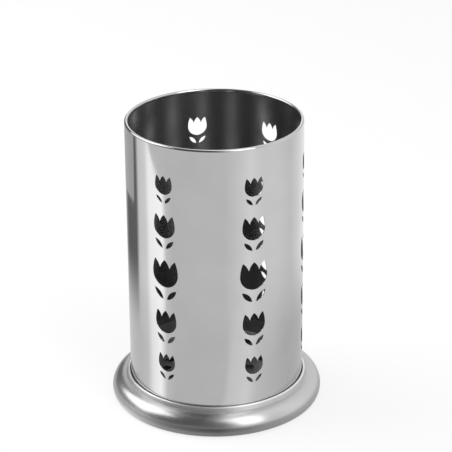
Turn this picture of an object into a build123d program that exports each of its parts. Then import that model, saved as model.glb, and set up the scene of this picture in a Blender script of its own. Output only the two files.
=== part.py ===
from build123d import *
import math
import os

# Cutlery drainer: a holed, rolled steel basket that lifts out of a spun drip tray.
# Millimetres, +Z up. The origin is on the table, on the axis of the basket.
# Angles round the axis are counted from the front, -Y, towards +X.

# Basket tube
overall_height = 165.0
tube_diameter = 98.0
tube_wall = 0.5

# Rim, rolled inwards and flush with the outside of the tube
curl_diameter = 2.1
curl_turn = 285.0

# Raised bottom of the basket, a shallow cup spot welded inside the tube
bottom_wall = 0.5
bottom_lift = 10.3
bottom_corner = 1.5
flange_height = 10.0
weld_gap = 0.1
drain_hole = 5.0
drain_ring_pitch = 9.5
drain_edge = 3.0

# Spot weld dimples in the tube
weld_count = 6
weld_start = -65.0
weld_edge = 3.0
dimple_diameter = 3.0
dimple_depth = 0.12

# Pattern of drain windows: columns of tulip blooms, each over a pair of leaf slots
column_angles = (-34.0, 25.0, 84.0, 140.0, 191.5, 258.0)
bloom_width = 16.2
bloom_step = 2.7
bloom_least = 6.0
row_web = 6.8
rim_band = 16.0
flange_band = 3.5

# Drip tray, spun from one sheet
tray_wall = 0.5
tray_floor_lift = 1.2
well_corner = 0.25
foot_clearance = 0.1
lip_height = 14.0
lip_bend = 0.15
lip_lean = 20.0
cove_radius = 0.3
crown_height = 11.4
shoulder_radius = 8.0
shoulder_turn = 70.0
bead_radius = 6.9
hem_radius = 1.25
hem_width = 2.0

# Worked out from the sizes above
tube_radius = tube_diameter / 2
tube_bore = tube_radius - tube_wall
curl_radius = curl_diameter / 2
foot_level = tray_floor_lift + tray_wall
bottom_level = foot_level + bottom_lift
flange_top = bottom_level + flange_height
flange_radius = tube_bore - weld_gap
well_radius = tube_radius + well_corner + foot_clearance

# A bloom is as tall as it is wide. Its parts are shares of its own width.
PETAL_TIP = (0.40, 0.50)
PETAL_NOTCH = (0.19, 0.20)
OUTER_PETAL_BULGE = (0.27, 0.367)
INNER_PETAL_BULGE = (0.12, 0.366)
LEAF_FOOT = (0.07, -0.95)
LEAF_TIP = (0.43, -0.57)
LEAF_BULGE = 0.09
MOTIF_TOP = PETAL_TIP[1]
MOTIF_HEIGHT = MOTIF_TOP - LEAF_FOOT[1]


def section_side(start, heading, moves, shift):
    """Edges of a path of straight runs and (radius, angle) turns, shifted to its left."""
    ahead = Vector(heading)
    point = Vector(start) + ahead.rotate(Axis.Z, 90) * shift
    edges = []
    for move in moves:
        if isinstance(move, tuple):
            radius, angle = move
            inwards = math.copysign(1, angle)
            edges.append(JernArc(point, ahead, radius - inwards * shift, angle))
        else:
            edges.append(Line(point, point + ahead * move))
        point = edges[-1] @ 1
        ahead = edges[-1] % 1
    return edges


def spun_sheet(start, heading, moves, wall):
    """Sheet of revolution. The moves follow the middle of its section, as radius and height."""
    left = section_side(start, heading, moves, wall / 2)
    right = section_side(start, heading, moves, -wall / 2)
    ends = [Line(left[0] @ 0, right[0] @ 0), Line(left[-1] @ 1, right[-1] @ 1)]
    return revolve(Plane.XZ * make_face(left + right + ends), axis=Axis.Z)


def wall_plane(angle):
    """Upright plane through the axis that faces outwards at this angle."""
    turn = math.radians(angle)
    outwards = (math.sin(turn), -math.cos(turn), 0)
    along = (math.cos(turn), math.sin(turn), 0)
    return Plane(origin=(0, 0, 0), x_dir=along, z_dir=outwards)


def bloom(width):
    """Round cup with three pointed petals."""
    def at(share, side=1):
        return (side * share[0] * width, share[1] * width)

    half = width / 2
    top = (0, MOTIF_TOP * width)
    cup = ThreePointArc((-half, 0), (0, -half), (half, 0))
    edges = [cup]
    for side in (1, -1):
        edges.append(TangentArc((side * half, 0), at(PETAL_TIP, side), tangent=(0, 1)))
        edges.append(ThreePointArc(at(PETAL_TIP, side), at(OUTER_PETAL_BULGE, side), at(PETAL_NOTCH, side)))
        edges.append(ThreePointArc(at(PETAL_NOTCH, side), at(INNER_PETAL_BULGE, side), top))
    return make_face(edges)


def leaf(width, side):
    """Slanted lens-shaped slot, on the right of the stem line for side 1."""
    foot = Vector(side * LEAF_FOOT[0] * width, LEAF_FOOT[1] * width)
    tip = Vector(side * LEAF_TIP[0] * width, LEAF_TIP[1] * width)
    middle = (foot + tip) / 2
    across = Vector(foot.Y - tip.Y, tip.X - foot.X).normalized() * LEAF_BULGE * width
    return make_face([ThreePointArc(foot, middle + across, tip), ThreePointArc(foot, middle - across, tip)])


def row_widths(rows):
    """Bloom widths of one column, widest in the middle."""
    middle = (rows - 1) / 2
    return [bloom_width - bloom_step * abs(row - middle) for row in range(rows)]


def stack_height(rows):
    return MOTIF_HEIGHT * sum(row_widths(rows)) + row_web * (rows - 1)


def column_sketch():
    """One column of windows, as many rows as the plain bands leave room for."""
    low = flange_top + flange_band
    high = overall_height - rim_band
    rows = 1
    while stack_height(rows + 2) <= high - low and min(row_widths(rows + 2)) >= bloom_least:
        rows += 2
    level = (high + low + stack_height(rows)) / 2
    windows = Sketch()
    for width in row_widths(rows):
        centre = Pos(0, level - MOTIF_TOP * width)
        windows += centre * bloom(width)
        windows += [centre * leaf(width, side) for side in (1, -1)]
        level -= MOTIF_HEIGHT * width + row_web
    return windows


def body_tube():
    """Rolled tube with its curled rim, drain windows and spot weld dimples."""
    half = tube_wall / 2
    wall = overall_height - curl_radius - foot_level
    curl = (curl_radius - half, curl_turn)
    tube = spun_sheet((tube_radius - half, foot_level), (0, 1), [wall, curl], tube_wall)

    windows = column_sketch()
    for angle in column_angles:
        tube -= extrude(wall_plane(angle) * windows, tube_diameter)

    electrode = ((dimple_diameter / 2) ** 2 + dimple_depth ** 2) / (2 * dimple_depth)
    weld_level = flange_top - weld_edge
    for weld in range(weld_count):
        place = wall_plane(weld_start + weld * 360 / weld_count)
        tube -= place * Pos(0, weld_level, tube_radius + electrode - dimple_depth) * Sphere(electrode)
    return tube


def drain_bottom():
    """Raised floor of the basket with rings of drain holes and its upright flange."""
    half = bottom_wall / 2
    level = bottom_level + half
    corner = bottom_corner + half
    floor = flange_radius - half - corner
    flange = flange_top - level - corner
    cup = spun_sheet((0, level), (1, 0), [floor, (corner, 90), flange], bottom_wall)

    reach = flange_radius - bottom_wall - bottom_corner - drain_edge - drain_hole / 2
    drill = Cylinder(drain_hole / 2, 4 * bottom_wall)
    holes = [Pos(0, 0, level) * drill]
    for ring in range(1, int(reach // drain_ring_pitch) + 1):
        around = PolarLocations(ring * drain_ring_pitch, 6 * ring)
        holes += [Pos(0, 0, level) * spot * drill for spot in around]
    return cup - holes


def drip_tray():
    """Spun tray: floor, well wall, turned lip, leaning slope, cove, shoulder, round bead and flat hem."""
    half = tray_wall / 2
    floor_level = tray_floor_lift + half
    crown_level = crown_height - half
    corner = well_corner + half
    lip = lip_bend + half
    cove = cove_radius + half
    shoulder = shoulder_radius - half
    bead = bead_radius - half
    hem = hem_radius - half
    lip_level = lip_height - half - lip

    lean = math.radians(lip_lean)
    turn = math.radians(shoulder_turn)
    drop = lip_level + lip * math.sin(lean) - cove * (1 - math.sin(lean)) - crown_level
    bead_level = crown_level - shoulder * (1 - math.cos(turn)) - bead * math.cos(turn)
    tuck = math.degrees(math.asin((bead_level - hem - half) / (bead - hem)))

    floor = [well_radius - well_corner, (corner, 90)]
    well_wall = [lip_level - floor_level - corner, (lip, -(180 - lip_lean))]
    slope = [drop / math.cos(lean), (cove, 90 - lip_lean)]
    dome = [(shoulder, -shoulder_turn), (bead, -(90 - shoulder_turn + tuck))]
    foot = [(hem, -(90 - tuck)), hem_width]
    return spun_sheet((0, floor_level), (1, 0), floor + well_wall + slope + dome + foot, tray_wall)


os.makedirs("parts", exist_ok=True)
for name, make in (("body_tube", body_tube), ("drain_bottom", drain_bottom), ("drip_tray", drip_tray)):
    export_step(make(), "parts/" + name + ".step")
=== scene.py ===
import math

import bmesh
import bpy
from mathutils import Matrix, Vector


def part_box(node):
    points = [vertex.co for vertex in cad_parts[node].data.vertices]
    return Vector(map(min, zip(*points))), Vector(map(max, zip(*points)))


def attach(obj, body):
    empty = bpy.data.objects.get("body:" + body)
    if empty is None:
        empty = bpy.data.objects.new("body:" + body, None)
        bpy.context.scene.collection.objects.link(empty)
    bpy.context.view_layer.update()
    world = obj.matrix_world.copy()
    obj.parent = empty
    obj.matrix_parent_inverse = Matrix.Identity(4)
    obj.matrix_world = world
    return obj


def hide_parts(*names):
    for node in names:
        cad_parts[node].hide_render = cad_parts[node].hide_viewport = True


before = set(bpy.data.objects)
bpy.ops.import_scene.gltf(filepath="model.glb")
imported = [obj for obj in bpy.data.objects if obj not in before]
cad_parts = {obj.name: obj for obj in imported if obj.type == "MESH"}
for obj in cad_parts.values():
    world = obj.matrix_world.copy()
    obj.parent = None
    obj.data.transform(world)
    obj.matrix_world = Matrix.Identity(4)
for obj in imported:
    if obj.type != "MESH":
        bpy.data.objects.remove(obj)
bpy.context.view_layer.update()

# Metres. The basket and the tray are round about Z, and their sections are in radius and height.
MM = 0.001
ROUND_STEPS = 240
ARC_STEP = math.radians(15)
TRAY_ARC_STEP = math.radians(9)
MERGE = 0.0001 * MM

# Basket tube, with its levels from the frame
TUBE_RADIUS = 49.0 * MM
SHEET = 0.5 * MM
TUBE_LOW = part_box("body_tube")[0].z
TUBE_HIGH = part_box("body_tube")[1].z
CURL_RADIUS = 1.05 * MM
CURL_TURN = math.radians(285)

# Raised bottom of the basket
BOTTOM_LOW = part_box("drain_bottom")[0].z
FLANGE_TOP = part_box("drain_bottom")[1].z
FLANGE_RADIUS = TUBE_RADIUS - SHEET - 0.1 * MM
BOTTOM_CORNER = 1.5 * MM
DRAIN_HOLE_RADIUS = 2.5 * MM
DRAIN_RING_PITCH = 9.5 * MM
DRAIN_RINGS = 4

# Spot weld dimples, counted round from the front towards +X
WELDS = 6
WELD_START = -65.0
WELD_LEVEL = FLANGE_TOP - 3.0 * MM
DIMPLE_RADIUS = 1.5 * MM
DIMPLE_DEPTH = 0.12 * MM

# Drain windows
COLUMN_ANGLES = (-34.0, 25.0, 84.0, 140.0, 191.5, 258.0)
ROWS = 5
BLOOM_WIDTH = 16.2 * MM
BLOOM_STEP = 2.7 * MM
ROW_WEB = 6.8 * MM
WINDOWS_LOW = FLANGE_TOP + 3.5 * MM
WINDOWS_HIGH = TUBE_HIGH - 16.0 * MM
PUNCH_START = 0.9 * TUBE_RADIUS
PUNCH_LENGTH = 10.0 * MM

# Shares of a bloom's own width
PETAL_SIDE = (0.475, 0.255)
PETAL_TIP = (0.40, 0.50)
PETAL_NOTCH = (0.19, 0.20)
OUTER_PETAL_BULGE = (0.27, 0.367)
INNER_PETAL_BULGE = (0.12, 0.366)
LEAF_FOOT = (0.07, -0.95)
LEAF_TIP = (0.43, -0.57)
LEAF_BULGE = 0.09
MOTIF_TOP = PETAL_TIP[1]
MOTIF_HEIGHT = MOTIF_TOP - LEAF_FOOT[1]

# Straight steps in the arcs of a window's outline
CUP_STEPS = 28
SIDE_STEPS = 8
PETAL_STEPS = 6
LEAF_STEPS = 9

# Drip tray
TRAY_SHEET = 0.5 * MM
TRAY_FLOOR_LIFT = 1.2 * MM
WELL_CORNER = 0.25 * MM
WELL_RADIUS = TUBE_RADIUS + 0.35 * MM
LIP_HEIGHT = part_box("drip_tray")[1].z
LIP_BEND = 0.15 * MM
LIP_LEAN = math.radians(20)
COVE_RADIUS = 0.3 * MM
CROWN_HEIGHT = 11.4 * MM
SHOULDER_RADIUS = 8.0 * MM
SHOULDER_TURN = math.radians(70)
BEAD_RADIUS = 6.9 * MM
HEM_RADIUS = 1.25 * MM
HEM_WIDTH = 2.0 * MM

# Camera, fitted to the photograph: tube edges, rim and foot
PHOTO_WIDTH = 452
PHOTO_FOCAL = 1951.8
SENSOR_WIDTH = 36.0
CAMERA_DISTANCE = 1090.8 * MM
CAMERA_ELEVATION = math.radians(24.25)
CAMERA_AIM_LEVEL = 87.6 * MM
CAMERA_YAW = math.radians(0.317)
CAMERA_PITCH = math.radians(0.640)
CAMERA_ROLL = math.radians(-0.514)

# Finish of the tube. In each finish, a pair holds the least and the greatest of a pattern.
TUBE_TONE = (0.545, 0.575)
TUBE_ROUGHNESS = (0.055, 0.095)
TUBE_LINES = (-0.01, 0.01)
TUBE_LINE_DEPTH = 0.002 * MM
TUBE_WAVE_DEPTH = 0.35 * MM
# Inside the tube: a duller finish, and a darker tone that is painted shade
INSIDE_SHADE_TONE = 0.31
INSIDE_ROUGHNESS = 0.27

# Finish of the tray, with a painted highlight (a brighter tone) and a matt finish between two
# levels at the lip's top, and matt from one reach in to the other
TRAY_TONE = (0.54, 0.58)
TRAY_ROUGHNESS = (0.27, 0.33)
TRAY_LINES = (-0.02, 0.02)
TRAY_LINE_DEPTH = 0.0008 * MM
TRAY_PASS_DEPTH = 0.004 * MM
# Painted highlight: the tone of the lip's top, between these two levels, is raised to this
LIP_HIGHLIGHT_TONE = 0.86
LIP_HIGHLIGHT_LEVELS = (LIP_HEIGHT - 0.9 * MM, LIP_HEIGHT - 0.3 * MM)
MATT_REACH = (WELL_RADIUS + 5.8 * MM, WELL_RADIUS + 2.6 * MM)
MATT_ROUGHNESS = 0.5

# Finish of the raised bottom, worn from one reach in to the other
BOTTOM_TONE = (0.50, 0.57)
BOTTOM_ROUGHNESS = (0.30, 0.36)
BOTTOM_LINE_DEPTH = 0.004 * MM
WORN_ROUGHNESS = (0.0, 0.08)
WORN_REACH = (0.9 * FLANGE_RADIUS, 0.4 * FLANGE_RADIUS)

# Table and air, which light the object only weakly
FLOOR_RADIUS = 4.0
FLOOR_DROP = -0.05 * MM
FLOOR_TONE = 0.35
FLOOR_GLOW = 0.67
FILL_LEVEL = 0.6

# Studio cards, which only metal sees. Levels are (angle, level) stops, from the front towards +X.
ALL_ROUND = (-180, 180)
CARD_STEP = 3
TABLE_CARD_DROP = -0.03 * MM
TABLE_CARD_REACH = (0.058, 1.5)
TABLE_PIVOT = (-0.012, -0.034)
SHADE_LEVELS = (
    (-180, 0.6), (-78, 0.85), (-60, 1.05), (-32, 0.46), (0, 0.3), (30, 0.43), (90, 0.6), (180, 0.6),
)
NEAR_LEVELS = (
    (-180, 0.7), (-115, 0.78), (-101, 0.88), (-92, 1.28), (-79, 1.5), (-68, 0.85), (-55, 0.77),
    (20, 0.77), (29, 0.93), (52, 1.03), (64, 0.85), (85, 0.75), (100, 0.67), (180, 0.65),
)
FAR_LEVELS = (
    (-180, 0.9), (-160, 0.5), (-148, 0.15), (-121, 0.18), (-115, 0.92), (-101, 1.04), (-94, 1.47),
    (-73, 1.57), (-67, 0.9), (-57, 0.79), (15, 0.82), (30, 0.92), (48, 1.08), (65, 0.98),
    (90, 0.97), (112, 0.87), (140, 1.05), (180, 0.95),
)
SHADE_REACH = (0.067, 0.073)
FAR_REACH = (0.11, 0.24)
BAND_LEVELS = ((-180, 0.6), (-54, 0.66), (-30, 0.27), (0, 0.1), (30, 0.42), (50, 0.58), (180, 0.6))
SHADE_BAND_RADIUS = 0.0635
SHADE_BAND_HEIGHT = 5.2 * MM
SHEET_EDGE_ANGLE = -54.9
SHEET_EDGE_REACH = (0.3725, 0.3855)
BARE_TABLE_LEVEL = 0.79
FAR_CARD_REACH = (0.32, 0.7)
FAR_CARD_SPAN = (-174, -121)
FAR_CARD_LEVEL = 0.52
WALL_LEVELS = (
    (-180, 1.5), (-172, 1.5), (-163, 0.1), (-95, 0.35), (-75, 0.1), (12, 0.12), (24, 0.5),
    (90, 1.1), (166, 0.85), (176, 1.0), (180, 1.5),
)
STUDIO_RADIUS = 1.8
STUDIO_HEIGHT = 1.8
LAMP_DISTANCE = 1.3


def new_object(name, mesh):
    piece = bpy.data.objects.new(name, mesh)
    bpy.context.scene.collection.objects.link(piece)
    return piece


def mesh_from(shape, name):
    mesh = bpy.data.meshes.new(name)
    shape.to_mesh(mesh)
    shape.free()
    return mesh


def around(angle):
    """Outward direction at an angle in degrees, counted from the front, -Y, towards +X."""
    turn = math.radians(angle)
    return Vector((math.sin(turn), -math.cos(turn), 0))


def swung(shape, corner, centre, axis, angle, steps):
    """Extrude a corner along an arc, and return the corner at its end."""
    swing = bmesh.ops.spin(
        shape, geom=[corner], cent=centre, axis=axis, dvec=(0, 0, 0), angle=angle, steps=steps,
        use_merge=False, use_duplicate=False,
    )
    return next(item for item in swing["geom_last"] if isinstance(item, bmesh.types.BMVert))


def pushed(shape, corner, step):
    """Extrude a corner along a straight run, and return the corner at its end."""
    grown = bmesh.ops.extrude_vert_indiv(shape, verts=[corner])
    corner = grown["verts"][0]
    corner.co += step
    return corner


def section_side(shape, start, heading, moves, shift, arc_step):
    """Draw a path of straight runs and (radius, angle) turns in XZ, shifted to its left."""
    ahead = Vector((heading[0], 0, heading[1]))
    across = Vector((-ahead.z, 0, ahead.x))
    first = corner = shape.verts.new(Vector((start[0], 0, start[1])) + across * shift)
    for move in moves:
        if isinstance(move, tuple):
            radius, angle = move
            side = math.copysign(1, angle)
            centre = corner.co + across * side * (radius - side * shift)
            steps = max(2, math.ceil(abs(angle) / arc_step))
            corner = swung(shape, corner, centre, (0, -1, 0), angle, steps)
            turn = Matrix.Rotation(angle, 3, (0, -1, 0))
            ahead, across = turn @ ahead, turn @ across
        else:
            corner = pushed(shape, corner, ahead * move)
    return first, corner


def spun_sheet(name, start, heading, moves, wall, arc_step):
    """Mesh of a sheet of revolution. The moves follow the middle of its section."""
    shape = bmesh.new()
    left = section_side(shape, start, heading, moves, wall / 2, arc_step)
    right = section_side(shape, start, heading, moves, -wall / 2, arc_step)
    shape.edges.new((left[1], right[1]))
    if start[0] > 0:
        shape.edges.new((left[0], right[0]))
    bmesh.ops.spin(
        shape, geom=shape.verts[:] + shape.edges[:], cent=(0, 0, 0), axis=(0, 0, 1), dvec=(0, 0, 0),
        angle=2 * math.pi, steps=ROUND_STEPS, use_merge=True, use_duplicate=False,
    )
    bmesh.ops.remove_doubles(shape, verts=shape.verts[:], dist=MERGE)
    bmesh.ops.recalc_face_normals(shape, faces=shape.faces[:])
    return mesh_from(shape, name)


def arc_through(shape, corner, middle, end, steps):
    """Extrude a corner along the arc through two more points in its plane, which is XY."""
    a, b, c = corner.co.to_2d(), Vector(middle), Vector(end)
    first, second = b - a, c - a
    twice = 2 * first.cross(second)
    spoke = Vector((
        (second.y * first.length_squared - first.y * second.length_squared) / twice,
        (first.x * second.length_squared - second.x * first.length_squared) / twice,
    ))
    centre = a + spoke
    angle = -((a - centre).angle_signed(b - centre) + (b - centre).angle_signed(c - centre))
    return swung(shape, corner, centre.to_3d(), (0, 0, 1), angle, steps)


def drawn(start, arcs):
    """Flat face in XY, closed by arcs of (middle, end, steps)."""
    shape = bmesh.new()
    corner = shape.verts.new((start[0], start[1], 0))
    for middle, end, steps in arcs:
        corner = arc_through(shape, corner, middle, end, steps)
    bmesh.ops.remove_doubles(shape, verts=shape.verts[:], dist=0.001)
    bmesh.ops.contextual_create(shape, geom=shape.edges[:])
    return mesh_from(shape, "drawn")


def bloom_face():
    """Round cup with three pointed petals, one unit wide."""
    def left(share):
        return (-share[0], share[1])

    top = (0, MOTIF_TOP)
    return drawn((-0.5, 0), [
        ((0, -0.5), (0.5, 0), CUP_STEPS),
        (PETAL_SIDE, PETAL_TIP, SIDE_STEPS),
        (OUTER_PETAL_BULGE, PETAL_NOTCH, PETAL_STEPS),
        (INNER_PETAL_BULGE, top, PETAL_STEPS),
        (left(INNER_PETAL_BULGE), left(PETAL_NOTCH), PETAL_STEPS),
        (left(OUTER_PETAL_BULGE), left(PETAL_TIP), PETAL_STEPS),
        (left(PETAL_SIDE), (-0.5, 0), SIDE_STEPS),
    ])


def leaf_face(side):
    """Slanted lens-shaped slot, on the right of the stem line for side 1."""
    foot = Vector((side * LEAF_FOOT[0], LEAF_FOOT[1]))
    tip = Vector((side * LEAF_TIP[0], LEAF_TIP[1]))
    across = (tip - foot).orthogonal().normalized() * LEAF_BULGE
    middle = (foot + tip) / 2
    return drawn(foot, [(middle - across, tip, LEAF_STEPS), (middle + across, foot, LEAF_STEPS)])


def motif_punch():
    """Mesh of the punch for one bloom and its leaves, one unit wide, standing on XY."""
    shape = bmesh.new()
    for face in (bloom_face(), leaf_face(1), leaf_face(-1)):
        shape.from_mesh(face)
        bpy.data.meshes.remove(face)
    grown = bmesh.ops.extrude_face_region(shape, geom=shape.faces[:], use_keep_orig=True)
    corners = [item for item in grown["geom"] if isinstance(item, bmesh.types.BMVert)]
    bmesh.ops.translate(shape, verts=corners, vec=(0, 0, PUNCH_LENGTH))
    bmesh.ops.recalc_face_normals(shape, faces=shape.faces[:])
    return mesh_from(shape, "motif_punch")


def window_punches():
    """Mesh of the punches that cut every window out of the tube."""
    motif = motif_punch()
    middle = (ROWS - 1) / 2
    widths = [BLOOM_WIDTH - BLOOM_STEP * abs(row - middle) for row in range(ROWS)]
    stack = MOTIF_HEIGHT * sum(widths) + ROW_WEB * (ROWS - 1)
    level = (WINDOWS_HIGH + WINDOWS_LOW + stack) / 2
    shape = bmesh.new()
    for width in widths:
        for angle in COLUMN_ANGLES:
            outwards, along = around(angle), around(angle + 90)
            stand = Matrix((along, (0, 0, 1), outwards)).transposed().to_4x4()
            place = outwards * PUNCH_START + Vector((0, 0, level - MOTIF_TOP * width))
            matrix = Matrix.Translation(place) @ stand @ Matrix.Diagonal((width, width, 1, 1))
            before = len(shape.verts)
            shape.from_mesh(motif)
            shape.verts.ensure_lookup_table()
            bmesh.ops.transform(shape, matrix=matrix, verts=shape.verts[before:])
        level -= MOTIF_HEIGHT * width + ROW_WEB
    bpy.data.meshes.remove(motif)
    return mesh_from(shape, "window_punches")


def weld_electrodes():
    """Mesh of the balls that press the spot weld dimples."""
    ball = (DIMPLE_RADIUS ** 2 + DIMPLE_DEPTH ** 2) / (2 * DIMPLE_DEPTH)
    shape = bmesh.new()
    for weld in range(WELDS):
        place = around(WELD_START + weld * 360 / WELDS) * (TUBE_RADIUS + ball - DIMPLE_DEPTH)
        place.z = WELD_LEVEL
        matrix = Matrix.Translation(place)
        bmesh.ops.create_icosphere(shape, subdivisions=5, radius=ball, matrix=matrix)
    return mesh_from(shape, "weld_electrodes")


def drain_drills():
    """Mesh of the rods that drill the drain holes."""
    shape = bmesh.new()
    middle = BOTTOM_LOW + SHEET / 2
    for ring in range(DRAIN_RINGS + 1):
        for hole in range(max(1, 6 * ring)):
            turn = 2 * math.pi * hole / max(1, 6 * ring)
            place = Vector((math.cos(turn), math.sin(turn), 0)) * ring * DRAIN_RING_PITCH
            place.z = middle
            bmesh.ops.create_cone(
                shape, cap_ends=True, segments=32, radius1=DRAIN_HOLE_RADIUS,
                radius2=DRAIN_HOLE_RADIUS, depth=4 * SHEET, matrix=Matrix.Translation(place),
            )
    return mesh_from(shape, "drain_drills")


def cut(mesh, *tool_meshes):
    """The mesh with every tool mesh taken away from it."""
    piece = new_object("cut_" + mesh.name, mesh)
    tools = []
    for tool_mesh in tool_meshes:
        tool = new_object("tool_" + tool_mesh.name, tool_mesh)
        tools.append(tool)
        boolean = piece.modifiers.new("cut", "BOOLEAN")
        boolean.operation = "DIFFERENCE"
        boolean.solver = "MANIFOLD"
        boolean.object = tool
    bpy.context.view_layer.update()
    depsgraph = bpy.context.evaluated_depsgraph_get()
    result = bpy.data.meshes.new_from_object(piece.evaluated_get(depsgraph))
    for used in [piece] + tools:
        used_mesh = used.data
        bpy.data.objects.remove(used)
        bpy.data.meshes.remove(used_mesh)
    return result


def smooth(mesh, sharp=math.radians(35)):
    """Smooth shading, with edges sharper than the limit kept crisp."""
    mesh.shade_smooth()
    mesh.set_sharp_from_angle(angle=sharp)


def round_wall_normals(mesh):
    """On the tube's upright walls, normals point straight out from the axis or straight in."""
    smooth(mesh)
    normals = [corner.vector.copy() for corner in mesh.corner_normals]
    upright = 0.999
    tolerance = 0.02 * MM
    for face in mesh.polygons:
        centre = Vector((face.center.x, face.center.y, 0)).normalized()
        facing = centre.dot(face.normal)
        if abs(facing) < upright:
            continue
        wall = TUBE_RADIUS if facing > 0 else TUBE_RADIUS - SHEET
        corners = [mesh.vertices[index].co for index in face.vertices]
        if any(abs(Vector((co.x, co.y)).length - wall) > tolerance for co in corners):
            continue
        for loop in face.loop_indices:
            co = mesh.vertices[mesh.loops[loop].vertex_index].co
            normals[loop] = Vector((co.x, co.y, 0)).normalized() * math.copysign(1, facing)
    mesh.normals_split_custom_set(normals)


def basket_tube():
    half = SHEET / 2
    wall = TUBE_HIGH - CURL_RADIUS - TUBE_LOW
    curl = (CURL_RADIUS - half, CURL_TURN)
    start = (TUBE_RADIUS - half, TUBE_LOW)
    mesh = spun_sheet("basket_tube", start, (0, 1), [wall, curl], SHEET, ARC_STEP)
    mesh = cut(mesh, window_punches(), weld_electrodes())
    round_wall_normals(mesh)
    return new_object("basket_tube", mesh)


def basket_bottom():
    half = SHEET / 2
    level = BOTTOM_LOW + half
    corner = BOTTOM_CORNER + half
    moves = [FLANGE_RADIUS - half - corner, (corner, math.pi / 2), FLANGE_TOP - level - corner]
    mesh = spun_sheet("basket_bottom", (0, level), (1, 0), moves, SHEET, ARC_STEP)
    mesh = cut(mesh, drain_drills())
    smooth(mesh)
    return new_object("basket_bottom", mesh)


def spun_tray():
    half = TRAY_SHEET / 2
    floor_level = TRAY_FLOOR_LIFT + half
    crown_level = CROWN_HEIGHT - half
    corner = WELL_CORNER + half
    lip = LIP_BEND + half
    cove = COVE_RADIUS + half
    shoulder = SHOULDER_RADIUS - half
    bead = BEAD_RADIUS - half
    hem = HEM_RADIUS - half
    lip_level = LIP_HEIGHT - half - lip

    drop = lip_level + lip * math.sin(LIP_LEAN) - cove * (1 - math.sin(LIP_LEAN)) - crown_level
    turned = math.cos(SHOULDER_TURN)
    bead_level = crown_level - shoulder * (1 - turned) - bead * turned
    tuck = math.asin((bead_level - hem - half) / (bead - hem))

    floor = [WELL_RADIUS - WELL_CORNER, (corner, math.pi / 2)]
    well_wall = [lip_level - floor_level - corner, (lip, LIP_LEAN - math.pi)]
    slope = [drop / math.cos(LIP_LEAN), (cove, math.pi / 2 - LIP_LEAN)]
    dome = [(shoulder, -SHOULDER_TURN), (bead, SHOULDER_TURN - math.pi / 2 - tuck)]
    foot = [(hem, tuck - math.pi / 2), HEM_WIDTH]
    moves = floor + well_wall + slope + dome + foot
    mesh = spun_sheet("spun_tray", (0, floor_level), (1, 0), moves, TRAY_SHEET, TRAY_ARC_STEP)
    smooth(mesh)
    return new_object("spun_tray", mesh)


def material(name):
    made = bpy.data.materials.new(name)
    made.use_nodes = True
    nodes = made.node_tree.nodes
    return made, nodes, made.node_tree.links, nodes["Principled BSDF"]


def math_node(nodes, links, operation, *inputs):
    """Math node. Each input is a number or another node's output."""
    made = nodes.new("ShaderNodeMath")
    made.operation = operation
    for socket, value in zip(made.inputs, inputs):
        if isinstance(value, bpy.types.NodeSocket):
            links.new(value, socket)
        else:
            socket.default_value = value
    return made.outputs[0]


def smooth_share(nodes, links, value, low, high):
    """Share of the way from low to high, eased at both ends."""
    share = nodes.new("ShaderNodeMapRange")
    share.interpolation_type = "SMOOTHSTEP"
    share.inputs["From Min"].default_value = low
    share.inputs["From Max"].default_value = high
    links.new(value, share.inputs["Value"])
    return share.outputs["Result"]


def between(nodes, links, first, second, share):
    """First level for share 0 and second level for share 1."""
    gain = math_node(nodes, links, "SUBTRACT", second, first)
    return math_node(nodes, links, "MULTIPLY_ADD", gain, share, first)


def pattern(nodes, links, vector, stretch, scale=1.0, detail=2.0, roughness=0.5):
    """Noise from 0 to 1 on a vector stretched by these factors, in waves per metre."""
    mapping = nodes.new("ShaderNodeMapping")
    mapping.inputs["Scale"].default_value = stretch
    links.new(vector, mapping.inputs["Vector"])
    noise = nodes.new("ShaderNodeTexNoise")
    noise.inputs["Scale"].default_value = scale
    noise.inputs["Detail"].default_value = detail
    noise.inputs["Roughness"].default_value = roughness
    links.new(mapping.outputs["Vector"], noise.inputs["Vector"])
    return noise.outputs["Fac"]


def spread(nodes, links, value, low, high, start=0.3, stop=0.7):
    """Level between low and high as the value goes from start to stop."""
    level = nodes.new("ShaderNodeMapRange")
    limits = (("From Min", start), ("From Max", stop), ("To Min", low), ("To Max", high))
    for name, number in limits:
        level.inputs[name].default_value = number
    links.new(value, level.inputs["Value"])
    return level.outputs["Result"]


def grey(nodes, links, level):
    colour = nodes.new("ShaderNodeCombineColor")
    for name in ("Red", "Green", "Blue"):
        links.new(level, colour.inputs[name])
    return colour.outputs["Color"]


def pressed(nodes, links, height, depth, onto=None):
    """Normal of a surface that this height pattern raises by up to depth metres."""
    bump = nodes.new("ShaderNodeBump")
    bump.inputs["Distance"].default_value = depth
    links.new(height, bump.inputs["Height"])
    if onto:
        links.new(onto, bump.inputs["Normal"])
    return bump.outputs["Normal"]


def axis_reach(nodes, links, place):
    """Height of a point, and its distance from the axis."""
    split = nodes.new("ShaderNodeSeparateXYZ")
    links.new(place, split.inputs[0])
    squares = [math_node(nodes, links, "POWER", split.outputs[name], 2.0) for name in ("X", "Y")]
    reach = math_node(nodes, links, "SQRT", math_node(nodes, links, "ADD", *squares))
    return split.outputs["Z"], reach


def stretched_gloss(nodes, links, shader, amount):
    """Stretch the gloss, as fine lines that run round the axis do."""
    quarter_turn = 0.25
    tangent = nodes.new("ShaderNodeTangent")
    tangent.direction_type = "RADIAL"
    tangent.axis = "Z"
    links.new(tangent.outputs["Tangent"], shader.inputs["Tangent"])
    shader.inputs["Anisotropic"].default_value = amount
    shader.inputs["Anisotropic Rotation"].default_value = quarter_turn


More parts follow.
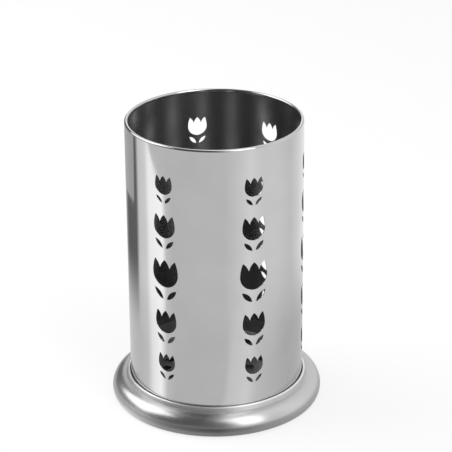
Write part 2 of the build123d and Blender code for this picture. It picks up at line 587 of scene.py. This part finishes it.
def polished_steel():
    """Rolled sheet, bright outside; inside, duller and with painted shade as a darker tone;
    slightly wavy, with faint rolling lines.
    """
    made, nodes, links, shader = material("polished_steel")
    shader.inputs["Metallic"].default_value = 1.0
    stretched_gloss(nodes, links, shader, amount=0.3)
    place = nodes.new("ShaderNodeTexCoord").outputs["Object"]
    height, reach = axis_reach(nodes, links, place)
    under_curl = math_node(nodes, links, "LESS_THAN", height, TUBE_HIGH - 2 * CURL_RADIUS)
    within = math_node(nodes, links, "LESS_THAN", reach, TUBE_RADIUS - SHEET / 2)
    inside = math_node(nodes, links, "MULTIPLY", under_curl, within)

    clouds = pattern(nodes, links, place, (1, 1, 1), scale=45.0, detail=3.0)
    smears = pattern(nodes, links, place, (1, 1, 0.35), scale=110.0, detail=4.0, roughness=0.6)
    lines = pattern(nodes, links, place, (18, 18, 1500), detail=3.0, roughness=0.65)
    waves = pattern(nodes, links, place, (1, 1, 0.6), scale=26.0, detail=0.0)

    # Painted shade: a darker tone inside the tube
    tone = between(nodes, links, spread(nodes, links, clouds, *TUBE_TONE), INSIDE_SHADE_TONE, inside)
    links.new(grey(nodes, links, tone), shader.inputs["Base Color"])
    smeared = spread(nodes, links, smears, *TUBE_ROUGHNESS)
    lined = spread(nodes, links, lines, *TUBE_LINES)
    polish = math_node(nodes, links, "ADD", smeared, lined)
    links.new(between(nodes, links, polish, INSIDE_ROUGHNESS, inside), shader.inputs["Roughness"])
    wavy = pressed(nodes, links, waves, TUBE_WAVE_DEPTH)
    links.new(pressed(nodes, links, lines, TUBE_LINE_DEPTH, wavy), shader.inputs["Normal"])
    return made


def satin_steel():
    """Spun sheet with a soft sheen and turned lines, matt near the lip, with a painted highlight
    along the lip's top.
    """
    made, nodes, links, shader = material("satin_steel")
    shader.inputs["Metallic"].default_value = 1.0
    stretched_gloss(nodes, links, shader, amount=0.6)
    place = nodes.new("ShaderNodeTexCoord").outputs["Object"]
    height, reach = axis_reach(nodes, links, place)
    # Band along the lip's top, which gets a painted highlight and is made matt
    lip_highlight_band = smooth_share(nodes, links, height, *LIP_HIGHLIGHT_LEVELS)
    matt = smooth_share(nodes, links, reach, *MATT_REACH)

    section = nodes.new("ShaderNodeCombineXYZ")
    links.new(reach, section.inputs["X"])
    links.new(height, section.inputs["Z"])
    rings = section.outputs[0]
    turned = pattern(nodes, links, rings, (1, 1, 1), scale=1600.0, detail=3.0, roughness=0.7)
    passes = pattern(nodes, links, rings, (1, 1, 1), scale=220.0)
    smudges = pattern(nodes, links, place, (1, 1, 1), scale=60.0, detail=4.0, roughness=0.6)

    sheen = spread(nodes, links, smudges, *TRAY_TONE)
    # Painted highlight: a brighter tone along the lip's top
    tone = between(nodes, links, sheen, LIP_HIGHLIGHT_TONE, lip_highlight_band)
    links.new(grey(nodes, links, tone), shader.inputs["Base Color"])
    smudged = spread(nodes, links, smudges, *TRAY_ROUGHNESS)
    lined = spread(nodes, links, turned, *TRAY_LINES)
    grain = math_node(nodes, links, "ADD", smudged, lined)
    grain = between(nodes, links, grain, MATT_ROUGHNESS, matt)
    links.new(between(nodes, links, grain, MATT_ROUGHNESS, lip_highlight_band), shader.inputs["Roughness"])
    spun = pressed(nodes, links, passes, TRAY_PASS_DEPTH)
    links.new(pressed(nodes, links, turned, TRAY_LINE_DEPTH, spun), shader.inputs["Normal"])
    return made


def plain_steel():
    """Mill-finish sheet with straight rolling lines, duller where cutlery lands in the middle."""
    made, nodes, links, shader = material("plain_steel")
    shader.inputs["Metallic"].default_value = 1.0
    place = nodes.new("ShaderNodeTexCoord").outputs["Object"]
    _, reach = axis_reach(nodes, links, place)
    worn = smooth_share(nodes, links, reach, *WORN_REACH)

    rolled = pattern(nodes, links, place, (25, 1400, 200), detail=3.0, roughness=0.7)
    clouds = pattern(nodes, links, place, (1, 1, 1), scale=90.0, detail=4.0, roughness=0.6)
    tone = spread(nodes, links, clouds, *BOTTOM_TONE)
    links.new(grey(nodes, links, tone), shader.inputs["Base Color"])
    scuffed = spread(nodes, links, clouds, *WORN_ROUGHNESS)
    scuffs = math_node(nodes, links, "MULTIPLY", scuffed, worn)
    grain = spread(nodes, links, rolled, *BOTTOM_ROUGHNESS)
    links.new(math_node(nodes, links, "ADD", grain, scuffs), shader.inputs["Roughness"])
    links.new(pressed(nodes, links, rolled, BOTTOM_LINE_DEPTH), shader.inputs["Normal"])
    return made


def finish_piece(piece, made, body, slot, *nodes):
    piece.data.materials.clear()
    piece.data.materials.append(made)
    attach(piece, body)
    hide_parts(*nodes)


finish_piece(basket_tube(), polished_steel(), "basket", "polished_steel", "body_tube")
finish_piece(basket_bottom(), plain_steel(), "basket", "plain_steel", "drain_bottom")
finish_piece(spun_tray(), satin_steel(), "tray", "satin_steel", "drip_tray")


def seen_as_background(nodes, links):
    """Share 1 for rays from the camera, from metal and through glass, else 0."""
    path = nodes.new("ShaderNodeLightPath").outputs
    direct = math_node(nodes, links, "MAXIMUM", path["Is Camera Ray"], path["Is Glossy Ray"])
    return math_node(nodes, links, "MAXIMUM", direct, path["Is Transmission Ray"])


def pale_world():
    """White background, and a weaker white light on matt things."""
    world = bpy.data.worlds.new("pale_studio")
    world.use_nodes = True
    bpy.context.scene.world = world
    nodes, links = world.node_tree.nodes, world.node_tree.links
    nodes.clear()
    white = nodes.new("ShaderNodeBackground")
    fill = nodes.new("ShaderNodeBackground")
    for light, level in ((white, 1.0), (fill, FILL_LEVEL)):
        light.inputs["Color"].default_value = (1, 1, 1, 1)
        light.inputs["Strength"].default_value = level
    mix = nodes.new("ShaderNodeMixShader")
    links.new(seen_as_background(nodes, links), mix.inputs["Fac"])
    links.new(fill.outputs[0], mix.inputs[1])
    links.new(white.outputs[0], mix.inputs[2])
    out = nodes.new("ShaderNodeOutputWorld")
    links.new(mix.outputs[0], out.inputs["Surface"])


def pale_floor():
    """White table that keeps a soft shadow of the object."""
    shape = bmesh.new()
    matrix = Matrix.Translation((0, 0, FLOOR_DROP))
    bmesh.ops.create_circle(shape, cap_ends=True, segments=96, radius=FLOOR_RADIUS, matrix=matrix)
    floor = new_object("table", mesh_from(shape, "table"))
    made, nodes, links, shader = material("table_white")
    nodes.remove(shader)
    matt = nodes.new("ShaderNodeBsdfDiffuse")
    matt.inputs["Color"].default_value = (FLOOR_TONE,) * 3 + (1,)
    glow = nodes.new("ShaderNodeEmission")
    links.new(seen_as_background(nodes, links), glow.inputs["Strength"])
    glow.inputs["Color"].default_value = (FLOOR_GLOW,) * 3 + (1,)
    both = nodes.new("ShaderNodeAddShader")
    links.new(matt.outputs[0], both.inputs[0])
    links.new(glow.outputs[0], both.inputs[1])
    links.new(both.outputs[0], nodes["Material Output"].inputs["Surface"])
    floor.data.materials.append(made)


def studio_piece(name, shape, glow_level):
    """Part of the studio that only metal sees. glow_level is a number or makes nodes for it."""
    piece = new_object(name, mesh_from(shape, name))
    made, nodes, links, shader = material(name)
    nodes.remove(shader)
    glow = nodes.new("ShaderNodeEmission")
    glow.inputs["Color"].default_value = (1, 1, 1, 1)
    if callable(glow_level):
        links.new(glow_level(nodes, links), glow.inputs["Strength"])
    else:
        glow.inputs["Strength"].default_value = glow_level
    links.new(glow.outputs[0], nodes["Material Output"].inputs["Surface"])
    piece.data.materials.append(made)
    piece.visible_camera = False
    piece.visible_diffuse = False
    piece.visible_shadow = False


def angle_ramp(nodes, links, levels, pivot=(0, 0)):
    """Level by angle round a pivot, in degrees from the front towards +X."""
    place = nodes.new("ShaderNodeTexCoord")
    split = nodes.new("ShaderNodeSeparateXYZ")
    links.new(place.outputs["Object"], split.inputs[0])
    across = math_node(nodes, links, "SUBTRACT", split.outputs["X"], pivot[0])
    forwards = math_node(nodes, links, "SUBTRACT", pivot[1], split.outputs["Y"])
    angle = math_node(nodes, links, "ARCTAN2", across, forwards)
    share = math_node(nodes, links, "MULTIPLY_ADD", angle, 1 / (2 * math.pi), 0.5)
    ramp = nodes.new("ShaderNodeValToRGB")
    links.new(share, ramp.inputs["Fac"])
    stops = ramp.color_ramp.elements
    brightest = max(level for _, level in levels)
    while len(stops) < len(levels):
        stops.new(1.0)
    for stop, (degrees, level) in zip(stops, levels):
        stop.position = degrees / 360 + 0.5
        stop.color = (level / brightest,) * 3 + (1,)
    return math_node(nodes, links, "MULTIPLY", ramp.outputs["Color"], brightest)


def table_light(nodes, links):
    """Level of the table: shaded close to the object, then near and far, and bare past a sheet."""
    place = nodes.new("ShaderNodeTexCoord").outputs["Object"]
    length = nodes.new("ShaderNodeVectorMath")
    length.operation = "LENGTH"
    links.new(place, length.inputs[0])
    reach = length.outputs["Value"]
    near = angle_ramp(nodes, links, NEAR_LEVELS, TABLE_PIVOT)
    far = angle_ramp(nodes, links, FAR_LEVELS, TABLE_PIVOT)
    level = between(nodes, links, near, far, smooth_share(nodes, links, reach, *FAR_REACH))
    clear = smooth_share(nodes, links, reach, *SHADE_REACH)
    level = between(nodes, links, angle_ramp(nodes, links, SHADE_LEVELS), level, clear)
    across = nodes.new("ShaderNodeVectorMath")
    across.operation = "DOT_PRODUCT"
    across.inputs[1].default_value = around(SHEET_EDGE_ANGLE)
    links.new(place, across.inputs[0])
    past = smooth_share(nodes, links, across.outputs["Value"], *SHEET_EDGE_REACH)
    return between(nodes, links, level, BARE_TABLE_LEVEL, past)


def band_light(nodes, links):
    return angle_ramp(nodes, links, BAND_LEVELS)


def room_light(nodes, links):
    return angle_ramp(nodes, links, WALL_LEVELS)


def swept_card(name, radii, heights, level, span=ALL_ROUND):
    """Studio card swept round the object between two angles, from one edge to the other."""
    start, end = span
    shape = bmesh.new()
    edge = [
        shape.verts.new(around(start) * radius + Vector((0, 0, height)))
        for radius, height in zip(radii, heights)
    ]
    edge.append(shape.edges.new(edge))
    bmesh.ops.spin(
        shape, geom=edge, cent=(0, 0, 0), axis=(0, 0, 1), dvec=(0, 0, 0),
        angle=math.radians(end - start), steps=round((end - start) / CARD_STEP), use_merge=False,
        use_duplicate=False,
    )
    studio_piece(name, shape, level)


def soft_box(name, angle, rise, width, height, level):
    """Soft studio lamp at this angle and elevation, aimed at the object. Metal sees its level."""
    rise = math.radians(rise)
    out = around(angle) * math.cos(rise) + Vector((0, 0, math.sin(rise)))
    light = bpy.data.lights.new(name, "AREA")
    light.shape = "RECTANGLE"
    light.size = width
    light.size_y = height
    light.energy = math.pi * width * height * level
    lamp = bpy.data.objects.new(name, light)
    bpy.context.scene.collection.objects.link(lamp)
    lamp.location = out * LAMP_DISTANCE
    lamp.rotation_euler = out.to_track_quat("Z", "Y").to_euler()


def photo_camera():
    """Camera at the photograph's viewing angle, aimed at the axis and then turned a little."""
    forward = Vector((0, math.cos(CAMERA_ELEVATION), -math.sin(CAMERA_ELEVATION)))
    right = Vector((1, 0, 0))
    up = right.cross(forward)
    forward, right = (
        forward * math.cos(CAMERA_YAW) + right * math.sin(CAMERA_YAW),
        right * math.cos(CAMERA_YAW) - forward * math.sin(CAMERA_YAW),
    )
    forward, up = (
        forward * math.cos(CAMERA_PITCH) + up * math.sin(CAMERA_PITCH),
        up * math.cos(CAMERA_PITCH) - forward * math.sin(CAMERA_PITCH),
    )
    right, up = (
        right * math.cos(CAMERA_ROLL) + up * math.sin(CAMERA_ROLL),
        up * math.cos(CAMERA_ROLL) - right * math.sin(CAMERA_ROLL),
    )
    lens = bpy.data.cameras.new("photo_camera")
    lens.sensor_width = SENSOR_WIDTH
    lens.lens = PHOTO_FOCAL / PHOTO_WIDTH * SENSOR_WIDTH
    lens.clip_start = 0.01
    camera = bpy.data.objects.new("photo_camera", lens)
    bpy.context.scene.collection.objects.link(camera)
    turn = Matrix((right, up, -forward)).transposed().to_4x4()
    back = CAMERA_DISTANCE * math.cos(CAMERA_ELEVATION)
    rise = CAMERA_AIM_LEVEL + CAMERA_DISTANCE * math.sin(CAMERA_ELEVATION)
    camera.matrix_world = Matrix.Translation((0, -back, rise)) @ turn
    bpy.context.scene.camera = camera


bpy.context.scene.view_settings.view_transform = "Standard"
pale_world()
pale_floor()
photo_camera()
swept_card("table_card", TABLE_CARD_REACH, (TABLE_CARD_DROP,) * 2, table_light)
swept_card("shade_band", (SHADE_BAND_RADIUS,) * 2, (0, SHADE_BAND_HEIGHT), band_light)
swept_card("far_card", FAR_CARD_REACH, (0, 0), FAR_CARD_LEVEL, FAR_CARD_SPAN)
swept_card("studio_wall", (STUDIO_RADIUS,) * 2, (0, STUDIO_HEIGHT), room_light)
swept_card("studio_ceiling", (0, STUDIO_RADIUS), (STUDIO_HEIGHT,) * 2, room_light)
soft_box("left_soft_box", angle=-107, rise=43, width=1.15, height=0.95, level=2.1)
soft_box("right_soft_box", angle=38, rise=45, width=0.62, height=1.45, level=1.85)
